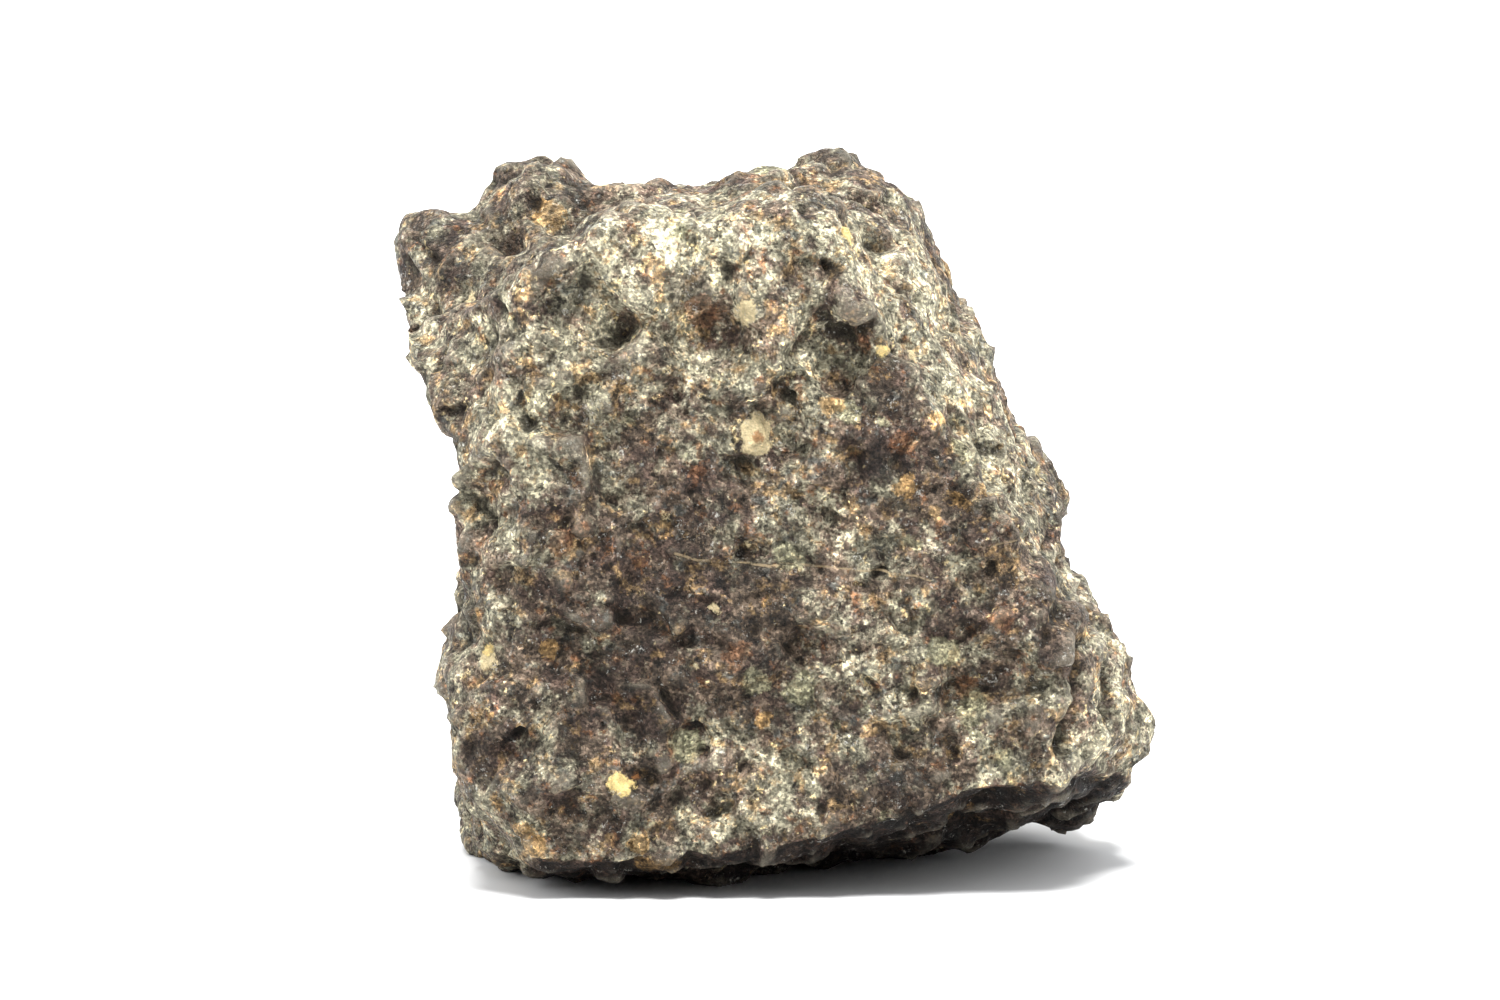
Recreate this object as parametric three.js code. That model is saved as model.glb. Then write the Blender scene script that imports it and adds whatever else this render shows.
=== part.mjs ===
// A weathered chondrite meteorite: one broken stone standing on a small flat spot.
// Millimetres, +Z up. The broad weathered face looks towards -Y.
// The origin is under the middle of the stone, at the level of the flat spot.
//
// Every surface point lies along a ray from the heart of the stone, so the form is one function:
// the length of the ray in a given direction. Broken faces and the outline set that length,
// knobs, hollows and pits change it, and an uneven grain roughens it.
import * as THREE from "three";
import { mergeVertices } from "three/addons/utils/BufferGeometryUtils.js";

// Driving dimensions
const HEART = new THREE.Vector3(0.3, 0.6, 12.0);
const FACE_SPLITS = 21; // each of the 20 starting faces becomes (splits + 1) squared triangles
const EDGE_SHARPNESS = 36; // higher leaves less rounding where two broken faces meet
const RIM_DEPTH = 1.5; // where along Y the stone fills its outline
const RIM_REACH = 6.5; // how far from there the outline's corners fade out
const RIM_NARROWING = 0.94; // what is left of the outline's width beyond that
const CORNER_FADE_ANGLE = 0.35; // the outline is averaged over this angle as its corners fade, in radians
const OUTLINE_TURN = 0.014; // radians the outline turns per millimetre of depth, so its notches run aslant
const SWELLING_FALL = 3; // higher gives knobs and pits a flatter middle and a steeper side
const UNEVEN_DEPTH = 0.42; // of the longest unevenness; each octave halves it
const UNEVEN_LENGTH = 5.6;
const UNEVEN_OCTAVES = 3;
const OCTAVE_SHIFT = 17; // lattice cells between one octave and the next, so they don't line up
const LATTICE_FACTORS = [374761393, 668265263, 1103515245]; // large odd factors that scramble a corner
const LATTICE_SCRAMBLE = 1274126177;

// The outline seen along +Y, as [x, z] corners, clockwise from the left shoulder.
// It leaves out the knobs, which are added below.
const OUTLINE = [
  [-13.6, 20.5],
  [-9.6, 22.3],
  [-6.1, 23.3],
  [-2.9, 24.7],
  [0.4, 24.9],
  [3.5, 24.8],
  [4.8, 23.9],
  [6.3, 21.2],
  [8.0, 18.2],
  [9.0, 16.3],
  [9.8, 15.0],
  [10.5, 13.2],
  [10.2, 11.6],
  [11.6, 9.9],
  [12.8, 7.8],
  [12.8, 5.6],
  [13.5, 3.8],
  [13.1, 1.9],
  [11.7, 0.7],
  [8.0, 0.3],
  [2.6, -1.1],
  [-6.6, -1.2],
  [-10.7, -0.5],
  [-11.7, 1.4],
  [-11.6, 4.0],
  [-11.6, 6.0],
  [-10.9, 8.8],
  [-10.9, 12.6],
  [-10.2, 13.9],
  [-10.4, 15.3],
  [-11.6, 17.4],
  [-13.1, 18.9],
];

// The broken faces that cut the outline in depth: outward direction and distance from the heart.
const BROKEN_FACES = [
  { name: "broad face", out: [0.02, -1, 0.06], away: 9.3 },
  { name: "left cheek", out: [-0.7, -0.71, 0.05], away: 13.2 },
  { name: "upper right flank", out: [0.73, -0.53, 0.42], away: 10.4 },
  { name: "lower right flank", out: [0.82, -0.56, 0.02], away: 13.0 },
  { name: "front toe", out: [0, -0.48, -0.88], away: 14.3 },
  { name: "left toe", out: [-0.66, -0.3, -0.69], away: 17.7 },
  { name: "right undercut", out: [0.23, -0.3, -0.92], away: 12.5 },
  { name: "crown", out: [-0.08, 0.12, 0.99], away: 13.4 },
  { name: "back", out: [0.1, 0.99, 0.12], away: 9.4 },
  { name: "back left", out: [-0.72, 0.67, 0.18], away: 12.4 },
  { name: "back right", out: [0.74, 0.62, 0.25], away: 11.4 },
  { name: "back crown", out: [0.15, 0.7, 0.7], away: 12.6 },
  { name: "heel", out: [-0.1, 0.62, -0.78], away: 12.3 },
];

// Knobs stand out (positive height) and hollows and pits sink in (negative height).
// Each is a round swelling about a point near the surface; deep stretches it along Y.
const SWELLINGS = [
  { name: "knob", at: [-8.9, 3.6, 24.4], across: 2.2, height: 2.9, deep: 2.0 },
  { name: "knob shoulder", at: [-13.2, 2.8, 23.2], across: 1.8, height: 2.6, deep: 1.9 },
  { name: "crown bump", at: [1.6, 3.5, 24.8], across: 1.8, height: 0.8 },
  { name: "ridge pit", at: [2.7, -8.9, 19.3], across: 0.8, height: -1.0 },
  { name: "ridge pit tail", at: [1.8, -8.9, 19.8], across: 0.6, height: -0.5 },
  { name: "upper hollow", at: [-2.4, -8.9, 20.4], across: 1.1, height: -0.5 },
  { name: "small pit", at: [0.7, -8.9, 17.0], across: 0.6, height: -0.5 },
  { name: "middle hollow", at: [2.0, -8.9, 13.1], across: 0.8, height: -0.45 },
  { name: "green pit", at: [-2.8, -8.9, 5.0], across: 0.8, height: -0.8 },
  { name: "round pit", at: [-8.6, -8.3, 5.4], across: 0.6, height: -0.7 },
  { name: "cheek hollow", at: [-9.7, -6.0, 18.5], across: 1.3, height: -0.5 },
  { name: "knob cavity", at: [-7.9, -1.0, 23.5], across: 0.9, height: -0.8 },
  { name: "toe notch", at: [-2.3, -7.0, 0.4], across: 0.6, height: -0.7 },
  { name: "toe hollow", at: [7.0, -6.5, 1.2], across: 2.6, height: -0.5 },
  { name: "ridge shoulder", at: [7.4, -8.4, 13.4], across: 1.9, height: 0.7 },
  { name: "right shoulder", at: [9.9, -7.4, 9.6], across: 1.7, height: 0.9 },
  { name: "block valley", at: [11.9, -4.6, 10.4], across: 1.5, height: -1.6, deep: 1.6 },
  { name: "back thumbprint", at: [3.2, 10.0, 15.5], across: 3.6, height: -1.3 },
  { name: "low back thumbprint", at: [-3.8, 9.5, 7.5], across: 3.0, height: -1.1 },
  { name: "left thumbprint", at: [-11.5, 4.5, 12.0], across: 2.8, height: -0.9 },
  { name: "crown thumbprint", at: [-1.5, 4.0, 25.0], across: 2.6, height: -0.9 },
];

// Unit vector from the heart towards a point
function directionTo(point) {
  return new THREE.Vector3(...point).sub(HEART).normalize();
}

// Where the ray at an angle round the view axis crosses the outline
function outlineRadius(angle) {
  const x = Math.cos(angle);
  const z = Math.sin(angle);
  let reach = 0;
  OUTLINE.forEach(([ax, az], i) => {
    const [bx, bz] = OUTLINE[(i + 1) % OUTLINE.length];
    const fromX = ax - HEART.x;
    const fromZ = az - HEART.z;
    const alongX = bx - ax;
    const alongZ = bz - az;
    const turn = x * alongZ - z * alongX;
    const share = (z * fromX - x * fromZ) / turn;
    const distance = (fromX * alongZ - fromZ * alongX) / turn;
    if (share >= 0 && share <= 1 && distance > 0) reach = Math.max(reach, distance);
  });
  return reach;
}

// The outline's radius for a ray. Away from the rim the outline narrows and its corners fade.
function girth(direction) {
  const angle = Math.atan2(direction.z, direction.x);
  const sideways = Math.hypot(direction.x, direction.z);
  const rim = outlineRadius(angle);
  const depth = HEART.y + (rim * direction.y) / sideways;
  const kept = Math.exp(-(((depth - RIM_DEPTH) / RIM_REACH) ** 2));
  const spread = [-1, -0.5, 0, 0.5, 1].map((step) => outlineRadius(angle + step * CORNER_FADE_ANGLE));
  const faded = (RIM_NARROWING * spread.reduce((sum, radius) => sum + radius)) / spread.length;
  const turned = outlineRadius(angle + OUTLINE_TURN * (depth - RIM_DEPTH));
  return kept * turned + (1 - kept) * faded;
}

// A fixed number between -1 and 1 for each corner of a unit lattice
function latticeValue(i, j, k) {
  const [a, b, c] = [i, j, k].map((step, axis) => Math.imul(step, LATTICE_FACTORS[axis]));
  let mixed = a ^ b ^ c;
  mixed = Math.imul(mixed ^ (mixed >>> 13), LATTICE_SCRAMBLE);
  return ((mixed ^ (mixed >>> 16)) >>> 0) / 2 ** 31 - 1;
}

// Smooth value between the lattice corners
function smoothValue(x, y, z) {
  const [i, j, k] = [Math.floor(x), Math.floor(y), Math.floor(z)];
  const [u, v, w] = [x - i, y - j, z - k].map((t) => t * t * (3 - 2 * t));
  let sum = 0;
  for (let corner = 0; corner < 8; corner += 1) {
    const [a, b, c] = [corner & 1, (corner >> 1) & 1, corner >> 2];
    const weight = (a ? u : 1 - u) * (b ? v : 1 - v) * (c ? w : 1 - w);
    sum += weight * latticeValue(i + a, j + b, k + c);
  }
  return sum;
}

// Unevenness of the stone: octaves of smooth values, each half as long and half as deep
function unevenness(point) {
  let sum = 0;
  for (let octave = 0; octave < UNEVEN_OCTAVES; octave += 1) {
    const finer = 2 ** octave;
    const [x, y, z] = point.toArray().map((place) => (place * finer) / UNEVEN_LENGTH + OCTAVE_SHIFT * octave);
    sum += (UNEVEN_DEPTH * smoothValue(x, y, z)) / finer;
  }
  return sum;
}

// Length of the ray from the heart in one direction: a soft minimum over the outline and broken faces
function rayLength(direction) {
  const sideways = Math.hypot(direction.x, direction.z);
  let crowding = (sideways / girth(direction)) ** EDGE_SHARPNESS;
  for (const face of BROKEN_FACES) {
    const facing = Math.max(0, new THREE.Vector3(...face.out).normalize().dot(direction));
    crowding += (facing / face.away) ** EDGE_SHARPNESS;
  }
  let length = crowding ** (-1 / EDGE_SHARPNESS);
  for (const swelling of SWELLINGS) {
    const reach = new THREE.Vector3(...swelling.at).distanceTo(HEART);
    const offset = direction.clone().sub(directionTo(swelling.at)).multiplyScalar(reach);
    offset.y /= swelling.deep ?? 1;
    const apart = offset.length();
    length += swelling.height * Math.exp(-((apart / swelling.across) ** SWELLING_FALL));
  }
  length += unevenness(direction.clone().multiplyScalar(length).add(HEART));
  const toFloor = direction.z < 0 ? -HEART.z / direction.z : Infinity;
  return Math.min(length, toFloor);
}

function stoneGeometry() {
  const ball = new THREE.IcosahedronGeometry(1, FACE_SPLITS);
  ball.deleteAttribute("normal");
  ball.deleteAttribute("uv");
  const stone = mergeVertices(ball);
  const places = stone.getAttribute("position");
  const direction = new THREE.Vector3();
  for (let i = 0; i < places.count; i += 1) {
    direction.fromBufferAttribute(places, i).normalize();
    const point = direction.clone().multiplyScalar(rayLength(direction)).add(HEART);
    places.setXYZ(i, point.x, point.y, point.z);
  }
  stone.computeVertexNormals();
  return stone;
}

const weatheredStone = new THREE.MeshStandardMaterial({ color: 0x6b6257, roughness: 0.85, metalness: 0 });
const stone = new THREE.Mesh(stoneGeometry(), weatheredStone);
stone.name = "stone";

const meteorite = new THREE.Group();
meteorite.add(stone);

export default meteorite;
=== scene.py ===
import bpy
import numpy as np
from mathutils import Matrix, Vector


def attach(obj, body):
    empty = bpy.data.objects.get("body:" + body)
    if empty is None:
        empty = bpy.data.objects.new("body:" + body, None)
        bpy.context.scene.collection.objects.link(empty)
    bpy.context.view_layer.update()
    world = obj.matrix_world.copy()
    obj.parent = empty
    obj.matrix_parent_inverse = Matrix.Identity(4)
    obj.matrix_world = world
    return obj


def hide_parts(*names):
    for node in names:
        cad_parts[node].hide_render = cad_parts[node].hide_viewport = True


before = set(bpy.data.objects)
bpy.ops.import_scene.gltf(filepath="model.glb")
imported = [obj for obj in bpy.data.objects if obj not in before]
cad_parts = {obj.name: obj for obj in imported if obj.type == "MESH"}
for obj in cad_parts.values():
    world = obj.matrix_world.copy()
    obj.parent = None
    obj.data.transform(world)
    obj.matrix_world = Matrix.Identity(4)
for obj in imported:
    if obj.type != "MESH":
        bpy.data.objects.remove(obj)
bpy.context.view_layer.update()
mm = 0.001
tiny = 1e-12  # keeps a divisor away from zero
print("frame loaded:", sorted(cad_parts))

# Camera: the photograph's own view, in mm and degrees
photoView = {
    "width": 1500,
    "height": 1000,
    "target": (-0.72, 0.0, 13.06),
    "distance": 250.0,
    "elevation": 6.0,
    "lens": 167.0,
    "sensor": 36.0,
    "clip": (0.01, 10.0),  # nearest and farthest, in metres
}


def viewAxes():
    tilt = np.radians(photoView["elevation"])
    back = np.array([0.0, -np.cos(tilt), np.sin(tilt)])
    up = np.array([0.0, np.sin(tilt), np.cos(tilt)])
    eye = np.array(photoView["target"]) + photoView["distance"] * back
    return eye, back, up


# Perspective: the distance right and down of the middle, over the distance ahead, times the lens in pixels
def photoPixels(points):
    eye, back, up = viewAxes()
    away = points - eye
    ahead = -(away @ back)
    lensPixels = photoView["width"] * photoView["lens"] / photoView["sensor"]
    across = photoView["width"] / 2 + lensPixels * away[:, 0] / ahead
    down = photoView["height"] / 2 - lensPixels * (away @ up) / ahead
    return np.stack([across, down], axis=1)


def makeCamera():
    eye, back, up = viewAxes()
    data = bpy.data.cameras.new("camera")
    data.lens = photoView["lens"]
    data.sensor_width = photoView["sensor"]
    data.clip_start, data.clip_end = photoView["clip"]
    camera = bpy.data.objects.new("camera", data)
    camera.location = Vector(eye) * mm
    camera.rotation_mode = "QUATERNION"
    camera.rotation_quaternion = Vector(-back).to_track_quat("-Z", "Y")
    bpy.context.scene.collection.objects.link(camera)
    bpy.context.scene.camera = camera


makeCamera()
print("camera placed")

# Noise on a lattice: each whole-number corner has a fixed value, and the places between are blended
lattice = {
    "factors": (374761393, 668265263, 1103515245),
    "scramble": 1274126177,
    "octaveShift": 17,
    "seedShift": 811,  # cells between one use of the lattice and the next
    "scatter": 0.45,  # how far, in cells, a scattered point strays from the middle of its cell
}


# A fixed number from -1 to 1 for each corner, by multiplying, mixing and wrapping whole numbers
def cornerValue(corners, seed=0):
    cells = (corners + lattice["seedShift"] * seed).astype(np.int64).astype(np.uint32)
    factors = np.array(lattice["factors"], dtype=np.uint32)
    parts = cells * factors
    mixed = parts[..., 0] ^ parts[..., 1] ^ parts[..., 2]
    mixed = (mixed ^ (mixed >> np.uint32(13))) * np.uint32(lattice["scramble"])
    return (mixed ^ (mixed >> np.uint32(16))) / 2.0**31 - 1.0


def cornerVector(corners, seed):
    return np.stack([cornerValue(corners, seed + axis) for axis in range(3)], axis=-1)


# Value noise: the eight corners round a point, weighted by smooth steps along each axis
def smoothValue(places, seed=0):
    corners = np.floor(places)
    share = places - corners
    share = share * share * (3.0 - 2.0 * share)
    total = np.zeros(len(places))
    for corner in np.ndindex(2, 2, 2):
        pick = np.array(corner)
        weight = np.where(pick == 1, share, 1.0 - share).prod(axis=1)
        total += weight * cornerValue(corners + pick, seed)
    return total


# Octaves of value noise, each half as long and half as deep as the one before
def octaves(points, length, depth, count, seed=0):
    total = np.zeros(len(points))
    for octave in range(count):
        finer = 2.0**octave
        places = points * finer / length + lattice["octaveShift"] * octave
        total += depth * smoothValue(places, seed) / finer
    return total


def neighbourCells(points, size):
    home = np.floor(points / size)
    for step in np.ndindex(3, 3, 3):
        yield home + np.array(step) - 1


# One scattered point to a cell: its middle moved by a fixed vector, which takes three seeds
def scatteredPoints(cells, size, seed):
    return (cells + 0.5 + lattice["scatter"] * cornerVector(cells, seed)) * size


# A fixed number from 0 to 1 for each cell
def cellShare(cells, seed):
    return 0.5 + 0.5 * cornerValue(cells, seed)


# The stone's form, in mm: the same values as its solid
stoneForm = {
    "heart": (0.3, 0.6, 12.0),
    "edgeSharpness": 36,
    "rimDepth": 1.5,
    "rimReach": 6.5,
    "rimNarrowing": 0.94,
    "cornerFadeAngle": 0.35,
    "outlineTurn": 0.014,
    "swellingFall": 3,
    "unevenDepth": 0.42,
    "unevenLength": 5.6,
    "unevenOctaves": 3,
    "outline": (
        (-13.6, 20.5), (-9.6, 22.3), (-6.1, 23.3), (-2.9, 24.7), (0.4, 24.9), (3.5, 24.8), (4.8, 23.9),
        (6.3, 21.2), (8.0, 18.2), (9.0, 16.3), (9.8, 15.0), (10.5, 13.2), (10.2, 11.6), (11.6, 9.9),
        (12.8, 7.8), (12.8, 5.6), (13.5, 3.8), (13.1, 1.9), (11.7, 0.7), (8.0, 0.3), (2.6, -1.1),
        (-6.6, -1.2), (-10.7, -0.5), (-11.7, 1.4), (-11.6, 4.0), (-11.6, 6.0), (-10.9, 8.8),
        (-10.9, 12.6), (-10.2, 13.9), (-10.4, 15.3), (-11.6, 17.4), (-13.1, 18.9),
    ),
    "brokenFaces": {  # outward direction, distance from the heart
        "broad face": ((0.02, -1, 0.06), 9.3),
        "left cheek": ((-0.7, -0.71, 0.05), 13.2),
        "upper right flank": ((0.73, -0.53, 0.42), 10.4),
        "lower right flank": ((0.82, -0.56, 0.02), 13.0),
        "front toe": ((0, -0.48, -0.88), 14.3),
        "left toe": ((-0.66, -0.3, -0.69), 17.7),
        "right undercut": ((0.23, -0.3, -0.92), 12.5),
        "crown": ((-0.08, 0.12, 0.99), 13.4),
        "back": ((0.1, 0.99, 0.12), 9.4),
        "back left": ((-0.72, 0.67, 0.18), 12.4),
        "back right": ((0.74, 0.62, 0.25), 11.4),
        "back crown": ((0.15, 0.7, 0.7), 12.6),
        "heel": ((-0.1, 0.62, -0.78), 12.3),
    },
    "swellings": {  # point near the surface, width, height, stretch in depth
        "knob": ((-8.9, 3.6, 24.4), 2.2, 2.9, 2.0),
        "knob shoulder": ((-13.2, 2.8, 23.2), 1.8, 2.6, 1.9),
        "crown bump": ((1.6, 3.5, 24.8), 1.8, 0.8, 1.0),
        "ridge pit": ((2.7, -8.9, 19.3), 0.8, -1.0, 1.0),
        "ridge pit tail": ((1.8, -8.9, 19.8), 0.6, -0.5, 1.0),
        "upper hollow": ((-2.4, -8.9, 20.4), 1.1, -0.5, 1.0),
        "small pit": ((0.7, -8.9, 17.0), 0.6, -0.5, 1.0),
        "middle hollow": ((2.0, -8.9, 13.1), 0.8, -0.45, 1.0),
        "green pit": ((-2.8, -8.9, 5.0), 0.8, -0.8, 1.0),
        "round pit": ((-8.6, -8.3, 5.4), 0.6, -0.7, 1.0),
        "cheek hollow": ((-9.7, -6.0, 18.5), 1.3, -0.5, 1.0),
        "knob cavity": ((-7.9, -1.0, 23.5), 0.9, -0.8, 1.0),
        "toe notch": ((-2.3, -7.0, 0.4), 0.6, -0.7, 1.0),
        "toe hollow": ((7.0, -6.5, 1.2), 2.6, -0.5, 1.0),
        "ridge shoulder": ((7.4, -8.4, 13.4), 1.9, 0.7, 1.0),
        "right shoulder": ((9.9, -7.4, 9.6), 1.7, 0.9, 1.0),
        "block valley": ((11.9, -4.6, 10.4), 1.5, -1.6, 1.6),
        "back thumbprint": ((3.2, 10.0, 15.5), 3.6, -1.3, 1.0),
        "low back thumbprint": ((-3.8, 9.5, 7.5), 3.0, -1.1, 1.0),
        "left thumbprint": ((-11.5, 4.5, 12.0), 2.8, -0.9, 1.0),
        "crown thumbprint": ((-1.5, 4.0, 25.0), 2.6, -0.9, 1.0),
    },
}
heart = np.array(stoneForm["heart"])


# Where rays at these angles cross the outline: the farthest crossing with any of its sides
def outlineRadius(angle):
    x, z = np.cos(angle), np.sin(angle)
    corners = np.array(stoneForm["outline"]) - heart[[0, 2]]
    reach = np.zeros_like(angle)
    for start, end in zip(corners, np.roll(corners, -1, axis=0)):
        along = end - start
        turn = x * along[1] - z * along[0]
        turn = np.where(np.abs(turn) < tiny, tiny, turn)
        share = (z * start[0] - x * start[1]) / turn
        distance = (start[0] * along[1] - start[1] * along[0]) / turn
        crosses = (share >= 0) & (share <= 1) & (distance > reach)
        reach = np.where(crosses, distance, reach)
    return reach


# The outline's radius for a ray: away from the rim it narrows and its corners are averaged out
def girth(ways):
    angle = np.arctan2(ways[:, 2], ways[:, 0])
    sideways = np.hypot(ways[:, 0], ways[:, 2])
    depth = heart[1] + outlineRadius(angle) * ways[:, 1] / sideways - stoneForm["rimDepth"]
    kept = np.exp(-((depth / stoneForm["rimReach"]) ** 2))
    steps = np.linspace(-1, 1, 5) * stoneForm["cornerFadeAngle"]
    faded = stoneForm["rimNarrowing"] * sum(outlineRadius(angle + step) for step in steps) / len(steps)
    turned = outlineRadius(angle + stoneForm["outlineTurn"] * depth)
    return kept * turned + (1 - kept) * faded


# Ray length: a soft minimum over the outline and broken faces, plus swellings and unevenness,
# cut at the floor
def rayLength(ways):
    power = stoneForm["edgeSharpness"]
    crowding = (np.hypot(ways[:, 0], ways[:, 2]) / girth(ways)) ** power
    for out, away in stoneForm["brokenFaces"].values():
        facing = np.maximum(ways @ (np.array(out) / np.linalg.norm(out)), 0)
        crowding += (facing / away) ** power
    length = crowding ** (-1 / power)
    for at, across, height, deep in stoneForm["swellings"].values():
        toward = np.array(at) - heart
        reach = np.linalg.norm(toward)
        apart = (ways * reach - toward) / (1, deep, 1)
        apart = np.linalg.norm(apart, axis=1) / across
        length += height * np.exp(-(apart ** stoneForm["swellingFall"]))
    uneven = octaves(
        ways * length[:, None] + heart,
        stoneForm["unevenLength"],
        stoneForm["unevenDepth"],
        stoneForm["unevenOctaves"],
    )
    toFloor = np.where(ways[:, 2] < 0, -heart[2] / np.minimum(ways[:, 2], -tiny), np.inf)
    return np.minimum(length + uneven, toFloor)


# Grid of rays: six square grids of two parameters, bent onto a ball, joined along their edges
stoneGrid = {
    "cells": 128,  # along each side of a square
    "lean": 0.2,  # how far the grid leans towards the broad face, so that it is finer there
}


def rayGrid():
    count = stoneGrid["cells"]
    steps = np.arange(count + 1)
    u, v = np.meshgrid(steps, steps, indexing="ij")
    top = np.full_like(u, count)
    corner = u * 0
    squares = []
    faces = []
    turns = ((0, 1, 2), (1, 2, 0), (2, 0, 1))
    for axes in turns:
        for side in (corner, top):
            square = np.empty(u.shape + (3,), dtype=int)
            square[..., axes[0]] = u
            square[..., axes[1]] = v
            square[..., axes[2]] = side
            index = np.arange(u.size).reshape(u.shape) + len(squares) * u.size
            quads = np.stack([index[:-1, :-1], index[1:, :-1], index[1:, 1:], index[:-1, 1:]], axis=-1)
            quads = quads.reshape(-1, 4)
            faces.append(quads if side is top else quads[:, ::-1])
            squares.append(square.reshape(-1, 3))
    places, joined = np.unique(np.concatenate(squares), axis=0, return_inverse=True)
    bent = np.tan((places / count - 0.5) * np.pi / 2)
    ways = bent / np.linalg.norm(bent, axis=1)[:, None]
    ways = ways - (0, stoneGrid["lean"], 0)
    ways /= np.linalg.norm(ways, axis=1)[:, None]
    return ways, joined.reshape(-1)[np.concatenate(faces)]


# Normals: each quad's two diagonals crossed, added up at its corners
def surfaceNormals(points, quads):
    first = points[quads[:, 2]] - points[quads[:, 0]]
    second = points[quads[:, 3]] - points[quads[:, 1]]
    across = np.cross(first, second)
    total = np.zeros_like(points)
    for corner in range(4):
        np.add.at(total, quads[:, corner], across)
    return total / np.linalg.norm(total, axis=1)[:, None]


ways, quads = rayGrid()
formPoints = heart + ways * rayLength(ways)[:, None]
formNormals = surfaceNormals(formPoints, quads)
print("stone form:", len(formPoints), "points,", len(quads), "quads")

# Marks seen in the photograph, as pixels there: (across, down, width)
photoMarks = {
    "cream": {
        "grain with a rusty core": (757, 435, 38),
        "left edge grain": (487, 660, 25),
        "white fleck": (698, 667, 9),
        "upper cream": (748, 312, 22),
        "flank cream": (918, 350, 16),
        "low fleck": (890, 838, 9),
    },
    "gold": {
        "gold grain": (621, 784, 24),
        "gold grain's tip": (630, 781, 14),
        "gold white grain": (850, 236, 22),
        "ridge gold": (883, 350, 11),
        "left gold": (484, 652, 10),
    },
    "ochre": {
        "lower ochre grain": (763, 722, 20),
        "toe crust": (664, 870, 44),
        "toe crust left": (530, 845, 30),
        "toe crust right": (640, 842, 26),
        "tan grain": (946, 816, 30),
        "knob floor": (550, 214, 34),
        "ridge ochre": (936, 418, 16),
        "ridge orange": (985, 490, 14),
        "face ochre": (832, 404, 22),
        "slope ochre": (906, 486, 24),
        "slope tan": (960, 495, 22),
        "left tan": (546, 650, 18),
        "left low tan": (500, 802, 18),
    },
    "green": {
        "pale oval": (795, 557, 28),
        "yellow green grain": (755, 686, 26),
        "olive grain": (797, 692, 32),
        "right grain": (943, 653, 30),
        "lower right grain": (969, 709, 32),
        "middle grain": (848, 412, 26),
        "flank grain": (965, 455, 40),
        "crown patch": (775, 172, 36),
        "low right grain": (1005, 762, 20),
        "green pit floor": (684, 745, 36),
    },
    "core": {
        "core of the cream grain": (759, 438, 10),
        "gold grain's end": (634, 779, 9),
    },
    "rust": {
        "upper hollow": (702, 312, 34),
        "ridge pit floor": (862, 342, 20),
        "right rust": (965, 690, 22),
        "upper right rust": (1000, 620, 24),
        "streak": (562, 545, 30),
        "streak end": (580, 528, 20),
        "ridge rust": (905, 445, 30),
        "face rust": (700, 470, 20),
        "low rust": (740, 655, 20),
    },
    "dark": {
        "smooth brown": (997, 676, 36),
        # painted shade: a dark mark in the hollow of the left cheek
        "cheek hollow shade": (494, 354, 56),
        "ridge stain": (880, 455, 44),
        "low stain": (490, 760, 40),
        "knob stain": (440, 238, 40),
        "right edge stain": (1047, 578, 46),
        "low right edge stain": (1050, 640, 46),
        # painted shade: dark marks down the valley between the front body and the block
        "block valley shade": (1083, 606, 40),
        "middle valley shade": (1082, 655, 34),
        "low valley shade": (1074, 705, 30),
        "ridge band": (915, 425, 40),
        "low ridge band": (968, 500, 44),
        "upper stain": (697, 292, 46),
        "middle stain": (905, 500, 30),
    },
    # pits: real hollows, whose near-black colour is painted shade inside them
    "pit": {
        "ridge pit": (846, 334, 28),
        "ridge pit right": (862, 330, 18),
        "ridge pit tail": (826, 322, 20),
        "small pit": (790, 402, 20),
        "round pit": (520, 735, 20),
        "green pit rim": (704, 752, 16),
        "middle hollow": (828, 515, 16),
        "flank pit": (996, 450, 16),
        "crown pit": (835, 205, 16),
        "crown pit left": (800, 205, 14),
        "crown pit right": (846, 218, 12),
        "upper ridge pit": (835, 268, 16),
        "left crown pit": (625, 214, 12),
        "side slit": (480, 520, 14),
        "right pit": (992, 572, 18),
        "low ridge pit": (880, 575, 18),
        "toe pit": (704, 872, 16),
        "corner pit": (489, 852, 18),
        "knob pit": (536, 206, 16),
    },
}

# Lines of the form seen in the photograph: pixels along each, half width in mm and height in mm
photoLines = {
    "ridge crest": (
        ((838, 296), (872, 322), (905, 372), (925, 410), (957, 455), (985, 490), (1004, 522)),
        0.55,
        0.4,
    ),
    "lower ridge": (((1004, 522), (1032, 545), (1042, 575), (1040, 620), (1046, 668)), 0.6, 0.3),
    "right edge": (((1056, 556), (1072, 598), (1070, 640), (1062, 690)), 0.5, 0.35),
    "block valley": (((1062, 548), (1081, 600), (1082, 650), (1075, 700), (1066, 745)), 0.42, -0.7),
    "lower ledge": (
        ((1120, 728), (1085, 750), (1067, 762), (1050, 784), (1017, 803), (979, 815)),
        0.5,
        0.3,
    ),
    "knob crease": (((402, 306), (470, 288), (540, 248), (596, 208)), 0.9, -0.5),
    "knob ledge": (((420, 318), (490, 300), (560, 262), (612, 226)), 0.6, 0.3),
}

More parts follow.
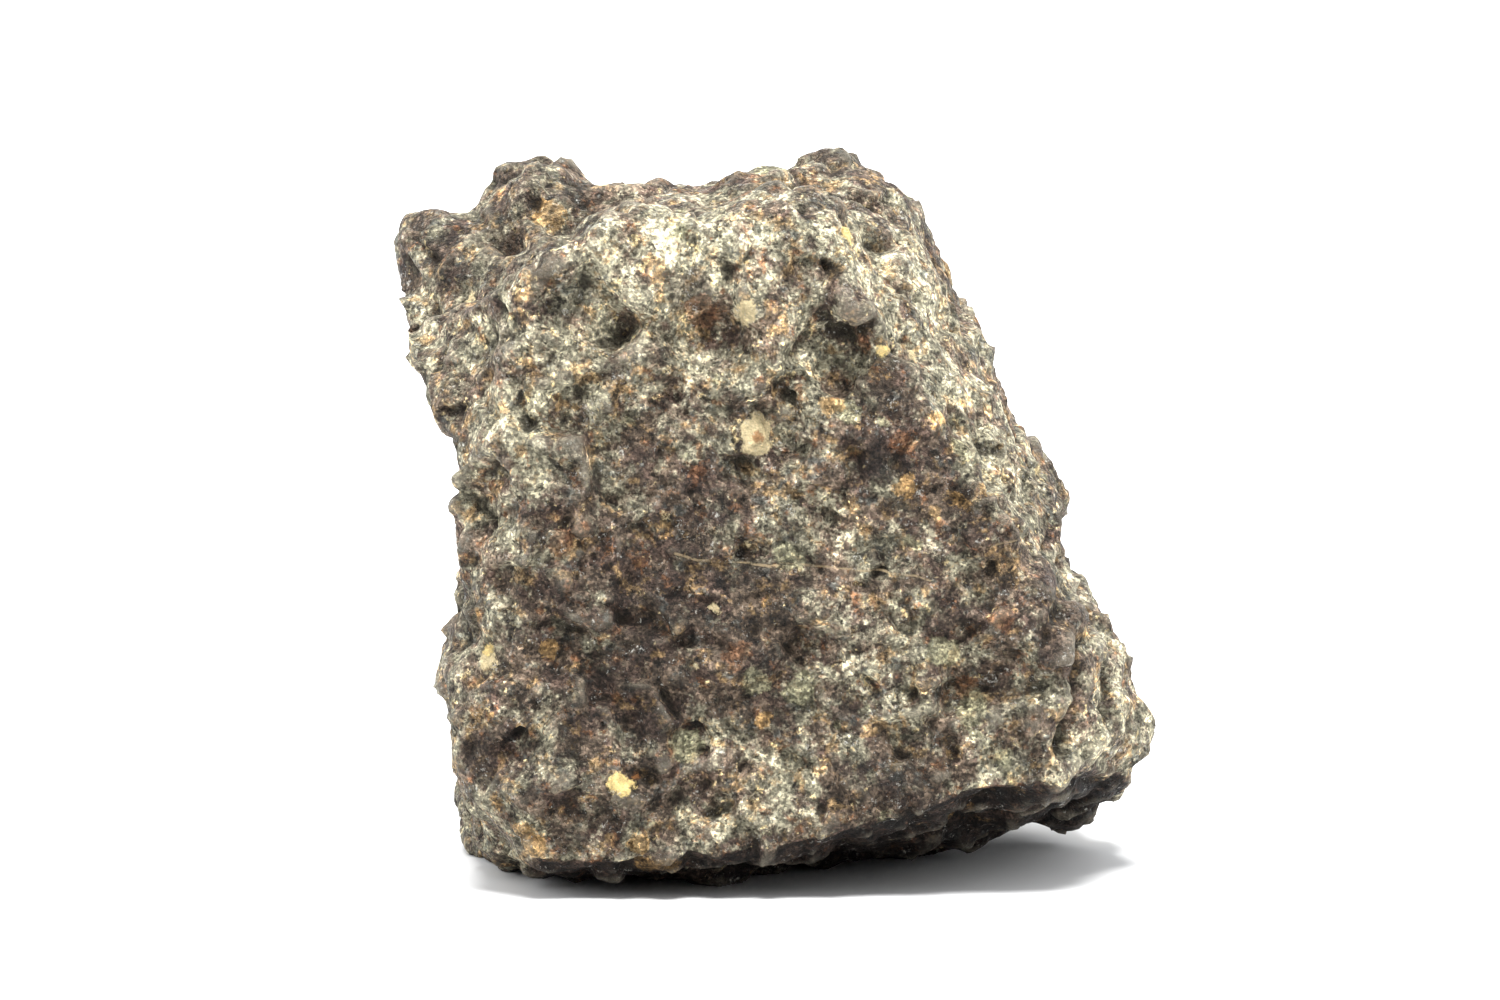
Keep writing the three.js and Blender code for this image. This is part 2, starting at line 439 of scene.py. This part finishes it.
# Broad zones of tone in the photograph: (across, down, width, how pale)
photoZones = {
    "upper grey": (675, 325, 190, 1.0),
    "upper left grey": (600, 400, 130, 0.6),
    "crown grey": (720, 215, 150, 0.8),
    "right flank": (930, 310, 130, 0.6),
    "lower block": (1110, 670, 110, 0.6),
    "lower right grey": (868, 705, 100, 0.45),
    "low middle grey": (735, 790, 90, 0.35),
    "middle pale": (700, 670, 60, 0.5),
    "ridge yellow": (1005, 470, 60, 0.7),
    # painted highlight: these two rim zones make the stone paler along its left edge
    "left rim highlight": (462, 640, 60, 0.8),
    "cheek rim highlight": (420, 300, 60, 0.6),
    "middle band": (690, 510, 200, -1.0),
    "low brown": (650, 650, 190, -1.0),
    "corner brown": (492, 750, 90, -1.0),
    "right brown": (990, 615, 120, -0.9),
    "ridge brown": (885, 455, 80, -0.9),
    "upper ridge brown": (890, 385, 50, -0.7),
    "middle ridge brown": (945, 462, 55, -0.9),
    "low ridge brown": (985, 520, 60, -0.7),
    "right edge brown": (1045, 590, 60, -0.9),
    "low right edge brown": (1048, 650, 55, -0.9),
    # painted shade: the valley between the front body and the block is made darker
    "block valley": (1086, 615, 36, -1.4),
    "knob brown": (490, 225, 170, -0.9),
    # painted shade: the hollow of the left cheek is made darker
    "cheek hollow shade zone": (485, 355, 70, -0.7),
    "left brown": (540, 610, 110, -0.7),
    "toe brown": (640, 825, 150, -0.8),
    "right toe brown": (900, 800, 130, -0.5),
}


# The surface point that shows at a pixel: the nearest one among those that face the camera
def pointsAtPixels(pixels, points=formPoints):
    eye = viewAxes()[0]
    facing = (formNormals * (eye - formPoints)).sum(axis=1) > 0
    shown = np.flatnonzero(facing)
    seen = photoPixels(formPoints[shown])
    found = [shown[((seen - pixel) ** 2).sum(axis=1).argmin()] for pixel in pixels]
    return points[found]


# The size in mm of a photograph's pixel at the broad face
pixelMm = photoView["distance"] * photoView["sensor"] / (photoView["width"] * photoView["lens"])
outside = -2.0  # depth in mm given to points far from every grain
zoneSpread = 0.55  # width of a zone's bell, as a share of the zone's width


# A ball cut by the surface: its depth is radius less distance, and its dome is the root of the difference
# of their squares
def ballFields(apart, radius):
    return radius - apart, np.sqrt(np.maximum(radius**2 - apart**2, 0))


# Points moved about by noise, so that grains measured among them have crooked outlines
bend = {"length": 0.9, "depth": 0.2, "count": 3, "seeds": (51, 52, 53)}
bentPoints = formPoints + np.stack(
    [octaves(formPoints, bend["length"], bend["depth"], bend["count"], seed) for seed in bend["seeds"]],
    axis=1,
)


def markFields(kind):
    marks = np.array(list(photoMarks[kind].values()), dtype=float)
    depth = np.full(len(formPoints), outside)
    dome = np.zeros(len(formPoints))
    for centre, width in zip(pointsAtPixels(marks[:, :2], bentPoints), marks[:, 2]):
        apart = np.linalg.norm(bentPoints - centre, axis=1)
        ballDepth, ballDome = ballFields(apart, 0.5 * width * pixelMm)
        depth = np.maximum(depth, ballDepth)
        dome = np.maximum(dome, ballDome)
    return depth, dome


# Tone: for each zone a bell of the distance from its middle, added up
def zoneTone():
    zones = np.array(list(photoZones.values()), dtype=float)
    tone = np.zeros(len(formPoints))
    for centre, width, pale in zip(pointsAtPixels(zones[:, :2]), zones[:, 2], zones[:, 3]):
        apart = np.linalg.norm(formPoints - centre, axis=1)
        tone += pale * np.exp(-((apart / (zoneSpread * width * pixelMm)) ** 2))
    return tone


# How much paler or darker than the rest some broken faces are; the front toe, the right undercut and the
# spot that the stone rests on are darkened as painted shadow under the stone
faceTones = {
    "upper right flank": 0.5,
    "lower right flank": 0.4,
    "left cheek": 0.4,
    # painted shadow: the faces under the stone, down to the spot it rests on, are made much darker
    "front toe": -4.5,
    "right undercut": -4.5,
    "resting spot shadow": -2.0,
}
toneEdge = {"cosine": 0.84, "width": 0.12}  # where a face's tone starts, and how soon it is full


# Tone of faces: rises smoothly as the surface turns to within the given cosine of a face's direction
def faceTone():
    outs = {name: out for name, (out, away) in stoneForm["brokenFaces"].items()}
    # the resting spot faces straight down, and its darkening is painted shadow
    outs["resting spot shadow"] = (0.0, 0.0, -1.0)
    tone = np.zeros(len(formPoints))
    for name, pale in faceTones.items():
        facing = formNormals @ (np.array(outs[name]) / np.linalg.norm(outs[name]))
        share = np.clip((facing - toneEdge["cosine"]) / toneEdge["width"], 0, 1)
        toned = pale * share * share * (3 - 2 * share)
        tone = np.where(np.abs(toned) > np.abs(tone), toned, tone)
    return tone


# Distance to a line through points: to the nearest place on any of its straight stretches
def lineDistance(points, bends):
    nearest = np.full(len(points), np.inf)
    for start, end in zip(bends[:-1], bends[1:]):
        along = end - start
        share = np.clip((points - start) @ along / (along @ along), 0, 1)
        offset = points - start - share[:, None] * along
        nearest = np.minimum(nearest, np.linalg.norm(offset, axis=1))
    return nearest


# Grains of the whole stone: balls scattered one to a cell, cut open where the surface meets them
grainScatter = {
    "large": {"cell": 2.3, "radius": (0.2, 0.55), "share": 0.6, "seed": 11},
    "small": {"cell": 1.05, "radius": (0.08, 0.26), "share": 0.6, "seed": 31},
}
grainKinds = {  # running shares of the scattered grains
    "core": 0.0,
    "pit": 0.09,
    "gold": 0.095,
    "cream": 0.15,
    "ochre": 0.3,
    "green": 0.5,
    "rust": 0.6,
    "dark": 0.9,
}


def scatteredFields(points, scatter):
    fields = {kind: (np.full(len(points), outside), np.zeros(len(points))) for kind in grainKinds}
    seed = scatter["seed"]
    least, most = scatter["radius"]
    for cells in neighbourCells(points, scatter["cell"]):
        centres = scatteredPoints(cells, scatter["cell"], seed)
        radius = least + (most - least) * cellShare(cells, seed + 3) ** 2
        present = cellShare(cells, seed + 4) < scatter["share"]
        choice = cellShare(cells, seed + 5)
        depth, dome = ballFields(np.linalg.norm(points - centres, axis=1), radius)
        low = 0.0
        for kind, high in grainKinds.items():
            chosen = present & (choice >= low) & (choice < high)
            deepest, highest = fields[kind]
            fields[kind] = (
                np.maximum(deepest, np.where(chosen, depth, outside)),
                np.maximum(highest, np.where(chosen, dome, 0)),
            )
            low = high
    return fields


scattered = [scatteredFields(bentPoints, scatter) for scatter in grainScatter.values()]
grains = {}
domes = {}
for kind in grainKinds:
    sources = [markFields(kind)] + [fields[kind] for fields in scattered]
    grains[kind] = np.maximum.reduce([depth for depth, dome in sources])
    domes[kind] = np.maximum.reduce([dome for depth, dome in sources])
print("grains scattered")

# Relief on the form, in mm: broken facets, grit, creases, lines of the form, proud grains and pits
relief = {
    "facets": (
        {"cell": 3.4, "tilt": 0.2, "edge": 18.0, "seed": 61},
        {"cell": 1.3, "tilt": 0.3, "edge": 18.0, "seed": 71},
    ),
    "grit": {"length": 1.0, "depth": 0.12, "count": 3, "seed": 81},
    "crease": {"length": 1.9, "depth": 0.1, "width": 0.1, "count": 3, "seed": 86},
    "lumps": (
        {"cell": 1.1, "radius": (0.25, 0.6), "height": 0.12, "seed": 121},
        {"cell": 0.55, "radius": (0.14, 0.3), "height": 0.22, "seed": 131},
    ),
    "proud": {  # share of its dome by which each kind of grain stands out
        "gold": 0.5,
        "cream": 0.3,
        "ochre": 0.15,
        "green": 0.12,
        "rust": 0.06,
        "dark": 0.04,
        "pit": -0.9,
    },
    "sink": 0.15,  # taken off all over, so that the relief lies about the form and not on it
    "pitLift": 0.35,  # how far pits reach upwards as they go in
    "cavityRings": 10,  # rings of quads that a point is compared with, to tell hollows from bumps
}


# Facets: a tilted plane through each scattered point, blended by nearness so that the nearest one rules
def brokenFacets(points, facet):
    total = np.zeros(len(points))
    weights = np.zeros(len(points))
    for cells in neighbourCells(points, facet["cell"]):
        away = points - scatteredPoints(cells, facet["cell"], facet["seed"])
        weight = np.exp(-facet["edge"] * (away**2).sum(axis=1) / facet["cell"] ** 2)
        total += weight * (away * cornerVector(cells, facet["seed"] + 3)).sum(axis=1) * facet["tilt"]
        weights += weight
    return total / np.maximum(weights, tiny)


# Lumps: balls scattered one to a cell, each standing out or sunk by its own share of its dome
def lumps(points, lump):
    total = np.zeros(len(points))
    seed = lump["seed"]
    least, most = lump["radius"]
    for cells in neighbourCells(points, lump["cell"]):
        centres = scatteredPoints(cells, lump["cell"], seed)
        radius = least + (most - least) * cellShare(cells, seed + 3)
        depth, dome = ballFields(np.linalg.norm(points - centres, axis=1), radius)
        total += lump["height"] * cornerValue(cells, seed + 4) * dome
    return total


# Creases: grooves where smooth noise crosses zero
def creases(points, crease):
    noise = octaves(points, crease["length"], 1.0, crease["count"], crease["seed"])
    return -crease["depth"] * np.exp(-((noise / crease["width"]) ** 2))


# Height along the normal: all of the relief added up, each line as a bell of the distance from it
def reliefHeight():
    height = octaves(formPoints, **relief["grit"]) - relief["sink"]
    height += creases(formPoints, relief["crease"])
    for facet in relief["facets"]:
        height += brokenFacets(formPoints, facet)
    for lump in relief["lumps"]:
        height += lumps(bentPoints, lump)
    for pixels, width, tall in photoLines.values():
        apart = lineDistance(formPoints, pointsAtPixels(np.array(pixels, dtype=float)))
        height += tall * np.exp(-((apart / width) ** 2))
    for kind, proud in relief["proud"].items():
        height += proud * domes[kind]
    return height


height = reliefHeight()
stonePoints = formPoints + formNormals * height[:, None]
stonePoints[:, 2] += relief["pitLift"] * domes["pit"] * np.hypot(formNormals[:, 0], formNormals[:, 1])
stonePoints[:, 2] = np.maximum(stonePoints[:, 2], 0)
print("relief from", height.min().round(2), "to", height.max().round(2), "mm")


# How far each point lies below its neighbourhood: the average over a few rings of quads less its own height
def sunken(values, rings):
    count = np.bincount(quads.ravel(), minlength=len(values))
    average = values
    for ring in range(rings):
        mean = np.repeat(average[quads].mean(axis=1), 4)
        average = np.bincount(quads.ravel(), weights=mean, minlength=len(values)) / count
    return average - values


# The fine tan vein across the broad face, as pixels of the photograph
tanVein = (
    (673, 553), (699, 561), (737, 562), (771, 567), (781, 564), (814, 564), (880, 573), (916, 576),
    (929, 581), (939, 578), (957, 567), (983, 558), (990, 551), (1008, 541), (1034, 543),
)


# Distance from the vein, measured in the photograph and only on the side that it shows
def veinDistance():
    back = viewAxes()[1]
    apart = lineDistance(photoPixels(formPoints), np.array(tanVein, dtype=float)) * pixelMm
    return np.where(formNormals @ back > 0, apart, -outside)


toneNoise = {"length": 4.5, "depth": 0.7, "count": 2, "seed": 91}
stoneFields = {
    # tone: zones, faces and noise; it carries painted shadow under the stone, painted highlight along the
    # left rim, and painted shade in the cheek hollow and the block valley
    "tone": zoneTone() + faceTone() + octaves(formPoints, **toneNoise),
    "cavity": sunken(height, relief["cavityRings"]),
    "vein": veinDistance(),
    **grains,
}


def makeStone():
    mesh = bpy.data.meshes.new("stone_surface")
    mesh.vertices.add(len(stonePoints))
    mesh.vertices.foreach_set("co", (stonePoints * mm).astype(np.float32).ravel())
    mesh.loops.add(quads.size)
    mesh.loops.foreach_set("vertex_index", quads.astype(np.int32).ravel())
    mesh.polygons.add(len(quads))
    mesh.polygons.foreach_set("loop_start", np.arange(0, quads.size, 4, dtype=np.int32))
    mesh.polygons.foreach_set("use_smooth", np.ones(len(quads), dtype=bool))
    mesh.update(calc_edges=True)
    mesh.validate()
    for name, values in stoneFields.items():
        field = mesh.attributes.new(name, "FLOAT", "POINT")
        field.data.foreach_set("value", values.astype(np.float32))
    stone = bpy.data.objects.new("stone_surface", mesh)
    bpy.context.scene.collection.objects.link(stone)
    return stone


stone = makeStone()
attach(stone, "root")
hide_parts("stone")
print("stone made")

# Stone finish: colours are linear, sizes in mm. A patch has a colour, a size, the noise level where it
# starts, how wide its edge is, its strength, and how much the tone of the zone helps it
stoneFinish = {
    "ground": (0.108, 0.079, 0.056),
    "patches": {
        "grey green": ((0.242, 0.224, 0.156), 1.5, 0.44, 0.15, 0.95, 0.055),
        "plum": ((0.068, 0.044, 0.034), 1.1, 0.52, 0.09, 0.85, -0.04),
        "tan": ((0.34, 0.22, 0.10), 0.8, 0.54, 0.11, 0.7, 0.012),
        "rust": ((0.20, 0.088, 0.036), 0.6, 0.58, 0.09, 0.65, 0.0),
        "blue grey": ((0.100, 0.112, 0.102), 0.8, 0.58, 0.09, 0.6, 0.0),
        "silver": ((0.45, 0.412, 0.292), 0.7, 0.55, 0.13, 0.7, 0.05),
        # partly black grains, partly painted fine shade standing in for small shadows that the bumps do not
        # cast
        "black specks and fine shade": ((0.014, 0.011, 0.008), 0.45, 0.57, 0.08, 0.85, -0.02),
        "cream": ((0.74, 0.58, 0.30), 0.45, 0.62, 0.08, 0.8, 0.03),
    },
    "patchNoise": (4, 0.68),  # detail, roughness
    "patchShift": (10.0, 7.0),  # of the first patch's noise, and from each to the next
    "grains": {  # colour, strength, raggedness
        "dark": ((0.050, 0.034, 0.027), 0.5, 1.4),
        "green": ((0.32, 0.31, 0.185), 0.5, 0.9),
        "rust": ((0.20, 0.085, 0.036), 0.5, 1.2),
        "ochre": ((0.42, 0.25, 0.09), 0.6, 1.2),
        # painted shade: pits are coloured near black, darker than the stone around them
        "pit": ((0.022, 0.017, 0.011), 0.65, 0.8),
    },
    "brightGrains": {  # the same, laid over the mottling
        "cream": ((0.72, 0.59, 0.34), 0.8, 0.8),
        "gold": ((0.88, 0.66, 0.27), 0.9, 0.7),
        "core": ((0.30, 0.13, 0.045), 0.8, 0.5),
    },
    "grainEdge": (-0.04, 0.06),  # the depths between which a grain's colour comes in
    "noises": {  # size, detail, roughness, shift
        "fray": (0.35, 5, 0.8, 90.0),
        "mottle": (1.6, 4, 0.95, 101.0),
        "cloud": (0.22, 3, 0.8, 121.0),
        "crowd": (0.7, 4, 0.8, 127.0),
        "crystal": (0.16, 3, 0.9, 131.0),
        "wander": (0.7, 3, 0.6, 137.0),
        "grit": (0.3, 4, 0.8, 149.0),
    },
    "toneDoublings": 0.42,
    "mottleDoublings": 9.0,
    "crystals": ({"size": 0.33, "doublings": 1.1}, {"size": 0.1, "doublings": 2.2}),
    "cloudDoublings": 3.0,
    "crowding": 1.1,  # how much thicker the pale flecks and painted glints are in some places
    "wander": 0.1,  # how far the vein's edges wander
    # laid over the rest: colour, the values of its field where it starts and is full, strength
    # dirt and painted shade in cavities, standing in for small shadows that the relief does not cast
    "dirtAndPaintedShade": ((0.016, 0.013, 0.009), 0.03, 0.22, 0.8),
    # wear and painted highlight on proud points
    "wearAndPaintedHighlight": ((0.38, 0.34, 0.26), -0.05, -0.25, 0.35),
    # pale flecks and painted glints: bright specks in the colour that stand in for glints off crystals
    "flecksAndPaintedGlints": ((0.80, 0.78, 0.70), 0.66, 0.86, 0.75),
    "vein": ((0.50, 0.38, 0.22), -0.06, -0.025, 0.6),
    "gloss": (0.5, 0.72, 0.7, 0.35),  # crystal values from and to, roughness from and to
    "specular": 0.2,
    "gritDepth": 0.5,
}
layerWay = (1.0, 1.7, 2.3)  # the direction in which layers of noise are shifted apart


def plug(tree, socket, value):
    if isinstance(value, bpy.types.NodeSocket):
        tree.links.new(value, socket)
    else:
        socket.default_value = value


def mathField(tree, operation, *values):
    made = tree.nodes.new("ShaderNodeMath")
    made.operation = operation
    for socket, value in zip(made.inputs, values):
        plug(tree, socket, value)
    return made.outputs[0]


def rangeField(tree, field, low, high, toLow=0.0, toHigh=1.0):
    made = tree.nodes.new("ShaderNodeMapRange")
    made.interpolation_type = "SMOOTHSTEP"
    for socket, value in zip(made.inputs, (field, low, high, toLow, toHigh)):
        plug(tree, socket, value)
    return made.outputs["Result"]


def mixColour(tree, share, first, second):
    made = tree.nodes.new("ShaderNodeMix")
    made.data_type = "RGBA"
    plug(tree, made.inputs["Factor"], share)
    for name, value in (("A", first), ("B", second)):
        socket = [s for s in made.inputs if s.name == name and s.type == "RGBA"][0]
        plug(tree, socket, value if isinstance(value, bpy.types.NodeSocket) else (*value, 1.0))
    return [s for s in made.outputs if s.type == "RGBA"][0]


def attributeField(tree, name):
    made = tree.nodes.new("ShaderNodeAttribute")
    made.attribute_name = name
    return made.outputs["Fac"]


def vectorField(tree, operation, *values):
    made = tree.nodes.new("ShaderNodeVectorMath")
    made.operation = operation
    for socket, value in zip(made.inputs, values):
        plug(tree, socket, value)
    return made.outputs[0]


# Noise of a size in mm, moved aside by a shift in mm so that no two layers line up
def noiseField(tree, place, size, detail, roughness, shift):
    made = tree.nodes.new("ShaderNodeTexNoise")
    moved = vectorField(tree, "ADD", place, tuple(part * shift * mm for part in layerWay))
    plug(tree, made.inputs["Vector"], moved)
    made.inputs["Scale"].default_value = 1 / (size * mm)
    made.inputs["Detail"].default_value = detail
    made.inputs["Roughness"].default_value = roughness
    return made.outputs["Fac"]


# A field about its middle of one half, times a gain
def swing(tree, field, gain):
    return mathField(tree, "MULTIPLY_ADD", field, gain, -0.5 * gain)


def scaleColour(tree, colour, scale):
    made = tree.nodes.new("ShaderNodeVectorMath")
    made.operation = "SCALE"
    plug(tree, made.inputs[0], colour)
    plug(tree, made.inputs["Scale"], scale)
    return made.outputs[0]


# Crystals of a size in mm: a fixed number for each cell round scattered points, the cells bent by noise
def crystalField(tree, place, size):
    warp = tree.nodes.new("ShaderNodeTexNoise")
    plug(tree, warp.inputs["Vector"], place)
    warp.inputs["Scale"].default_value = 1 / (size * mm)
    moved = vectorField(tree, "MULTIPLY_ADD", warp.outputs["Color"], (size * mm,) * 3, place)
    cells = tree.nodes.new("ShaderNodeTexVoronoi")
    plug(tree, cells.inputs["Vector"], moved)
    cells.inputs["Scale"].default_value = 1 / (size * mm)
    parts = tree.nodes.new("ShaderNodeSeparateColor")
    plug(tree, parts.inputs[0], cells.outputs["Color"])
    return parts.outputs[0]


# A colour laid over another: none of it where the field is at start, and its full strength at end
def layColour(tree, colour, field, hue, start, end, strength):
    return mixColour(tree, rangeField(tree, field, start, end, 0.0, strength), colour, hue)


# Grains laid over a colour where their depth, frayed by noise, is above zero
def grainColours(tree, colour, fray, kinds):
    start, end = stoneFinish["grainEdge"]
    for name, (hue, strength, raggedness) in kinds.items():
        depth = mathField(tree, "ADD", attributeField(tree, name), swing(tree, fray, raggedness))
        colour = layColour(tree, colour, depth, hue, start, end, strength)
    return colour


def weatheredStone():
    material = bpy.data.materials.new("weathered_stone")
    material.use_nodes = True
    tree = material.node_tree
    tree.nodes.clear()
    place = tree.nodes.new("ShaderNodeTexCoord").outputs["Object"]
    tone = attributeField(tree, "tone")
    cavity = attributeField(tree, "cavity")
    noises = {name: noiseField(tree, place, *noise) for name, noise in stoneFinish["noises"].items()}

    # patches of each mineral over a brown ground
    colour = stoneFinish["ground"]
    shift, step = stoneFinish["patchShift"]
    for hue, size, start, edge, strength, toneHelp in stoneFinish["patches"].values():
        noise = noiseField(tree, place, size, *stoneFinish["patchNoise"], shift)
        noise = mathField(tree, "MULTIPLY_ADD", tone, toneHelp, noise)
        colour = layColour(tree, colour, noise, hue, start, start + edge, strength)
        shift += step

    # grains, with ragged edges
    colour = grainColours(tree, colour, noises["fray"], stoneFinish["grains"])

    # mottling: the colour doubled or halved by noise alike at every size, and by the zone's tone, which
    # also carries painted shadow under the stone, painted highlight along the left rim and painted shade in
    # the cheek hollow and the block valley
    doublings = mathField(tree, "MULTIPLY", tone, stoneFinish["toneDoublings"])
    mottle = swing(tree, noises["mottle"], stoneFinish["mottleDoublings"])
    doublings = mathField(tree, "ADD", doublings, mottle)

    # crystals, each lighter or darker by its own number
    for crystal in stoneFinish["crystals"]:
        value = crystalField(tree, place, crystal["size"])
        doublings = mathField(tree, "ADD", doublings, swing(tree, value, crystal["doublings"]))
    colour = scaleColour(tree, colour, mathField(tree, "POWER", 2.0, doublings))

    # cavities are darkened, partly as dirt and partly as painted shade; proud points are made pale, partly
    # as wear and partly as painted highlight
    colour = layColour(tree, colour, cavity, *stoneFinish["dirtAndPaintedShade"])
    colour = layColour(tree, colour, cavity, *stoneFinish["wearAndPaintedHighlight"])

    # bright grains lie over the mottling, and fine clouding lies over all of it
    colour = grainColours(tree, colour, noises["fray"], stoneFinish["brightGrains"])
    cloudy = swing(tree, noises["cloud"], stoneFinish["cloudDoublings"])
    colour = scaleColour(tree, colour, mathField(tree, "POWER", 2.0, cloudy))

    # pale crystal flecks and painted glints, thick in some places and thin in others
    crowd = swing(tree, noises["crowd"], stoneFinish["crowding"])
    crystal = mathField(tree, "ADD", noises["crystal"], crowd)
    colour = layColour(tree, colour, crystal, *stoneFinish["flecksAndPaintedGlints"])

    # vein, thick and thin along its way and broken in places
    wander = swing(tree, noises["wander"], stoneFinish["wander"])
    veinDepth = mathField(tree, "SUBTRACT", wander, attributeField(tree, "vein"))
    colour = layColour(tree, colour, veinDepth, *stoneFinish["vein"])

    # finish: dull ground, glossier crystals, fine grit
    gloss = rangeField(tree, crystal, *stoneFinish["gloss"])
    bump = tree.nodes.new("ShaderNodeBump")
    bump.inputs["Distance"].default_value = stoneFinish["gritDepth"] * mm
    plug(tree, bump.inputs["Height"], noises["grit"])
    shader = tree.nodes.new("ShaderNodeBsdfPrincipled")
    shader.inputs["Specular IOR Level"].default_value = stoneFinish["specular"]
    plug(tree, shader.inputs["Base Color"], colour)
    plug(tree, shader.inputs["Roughness"], gloss)
    plug(tree, shader.inputs["Normal"], bump.outputs["Normal"])
    output = tree.nodes.new("ShaderNodeOutputMaterial")
    plug(tree, output.inputs["Surface"], shader.outputs["BSDF"])
    return material


stone.data.materials.append(weatheredStone())
print("stone finished")

# Studio, in metres: a pale floor lit to full white, a strong light overhead and a little in front, a sky
# that is bright behind the stone and dim in front of it, and weak lights from both sides
studio = {
    "floorRadius": 1.6,
    "floorCorners": 64,
    "floorDrop": 0.00002,
    "floorColour": (0.72, 0.72, 0.72),
    "floorRoughness": 0.9,
    "skyColour": (0.98, 1.0, 1.02),
    "skyLow": 0.1,  # in front of the broad face, near the floor
    "skyFront": 0.5,  # in front of it, higher up
    "skyBack": 2.2,
    "skyRise": (0.2, 0.5),  # how steeply upwards the front turns from low to high
    "skyTurn": (-0.5, 0.2),  # how far towards +Y the front turns into the back
    "suns": {  # direction of the light's place, strength, width in degrees
        "key": ((0.0, -0.25, 1.0), 7.4, 25.0),
        "right": ((0.9, -0.2, 0.5), 0.5, 40.0),
        "left": ((-0.9, -0.3, 0.5), 0.7, 40.0),
    },
}


# Floor: a ring of points, radius times the cosine and sine of the angle
def makeFloor():
    angle = np.linspace(0, 2 * np.pi, studio["floorCorners"], endpoint=False)
    ring = np.stack([np.cos(angle), np.sin(angle), 0 * angle], axis=1) * studio["floorRadius"]
    ring[:, 2] = -studio["floorDrop"]
    mesh = bpy.data.meshes.new("floor")
    mesh.from_pydata(ring.tolist(), [], [list(range(len(ring)))])
    floor = bpy.data.objects.new("floor", mesh)
    bpy.context.scene.collection.objects.link(floor)
    material = bpy.data.materials.new("pale_floor")
    material.use_nodes = True
    shader = material.node_tree.nodes["Principled BSDF"]
    shader.inputs["Base Color"].default_value = (*studio["floorColour"], 1.0)
    shader.inputs["Roughness"].default_value = studio["floorRoughness"]
    shader.inputs["Specular IOR Level"].default_value = 0.0
    mesh.materials.append(material)


def makeLights():
    world = bpy.data.worlds.new("studio")
    world.use_nodes = True
    tree = world.node_tree
    sky = tree.nodes["Background"]
    sky.inputs["Color"].default_value = (*studio["skyColour"], 1.0)
    away = tree.nodes.new("ShaderNodeSeparateXYZ")
    plug(tree, away.inputs[0], tree.nodes.new("ShaderNodeTexCoord").outputs["Generated"])
    front = rangeField(tree, away.outputs["Z"], *studio["skyRise"], studio["skyLow"], studio["skyFront"])
    strength = rangeField(tree, away.outputs["Y"], *studio["skyTurn"], front, studio["skyBack"])
    plug(tree, sky.inputs["Strength"], strength)
    bpy.context.scene.world = world
    for name, (place, strength, width) in studio["suns"].items():
        light = bpy.data.lights.new(name, "SUN")
        light.energy = strength
        light.angle = np.radians(width)
        sun = bpy.data.objects.new(name, light)
        sun.rotation_mode = "QUATERNION"
        sun.rotation_quaternion = (-Vector(place)).to_track_quat("-Z", "Y")
        bpy.context.scene.collection.objects.link(sun)


makeFloor()
makeLights()
bpy.context.scene.view_settings.view_transform = "Standard"
print("studio lit")
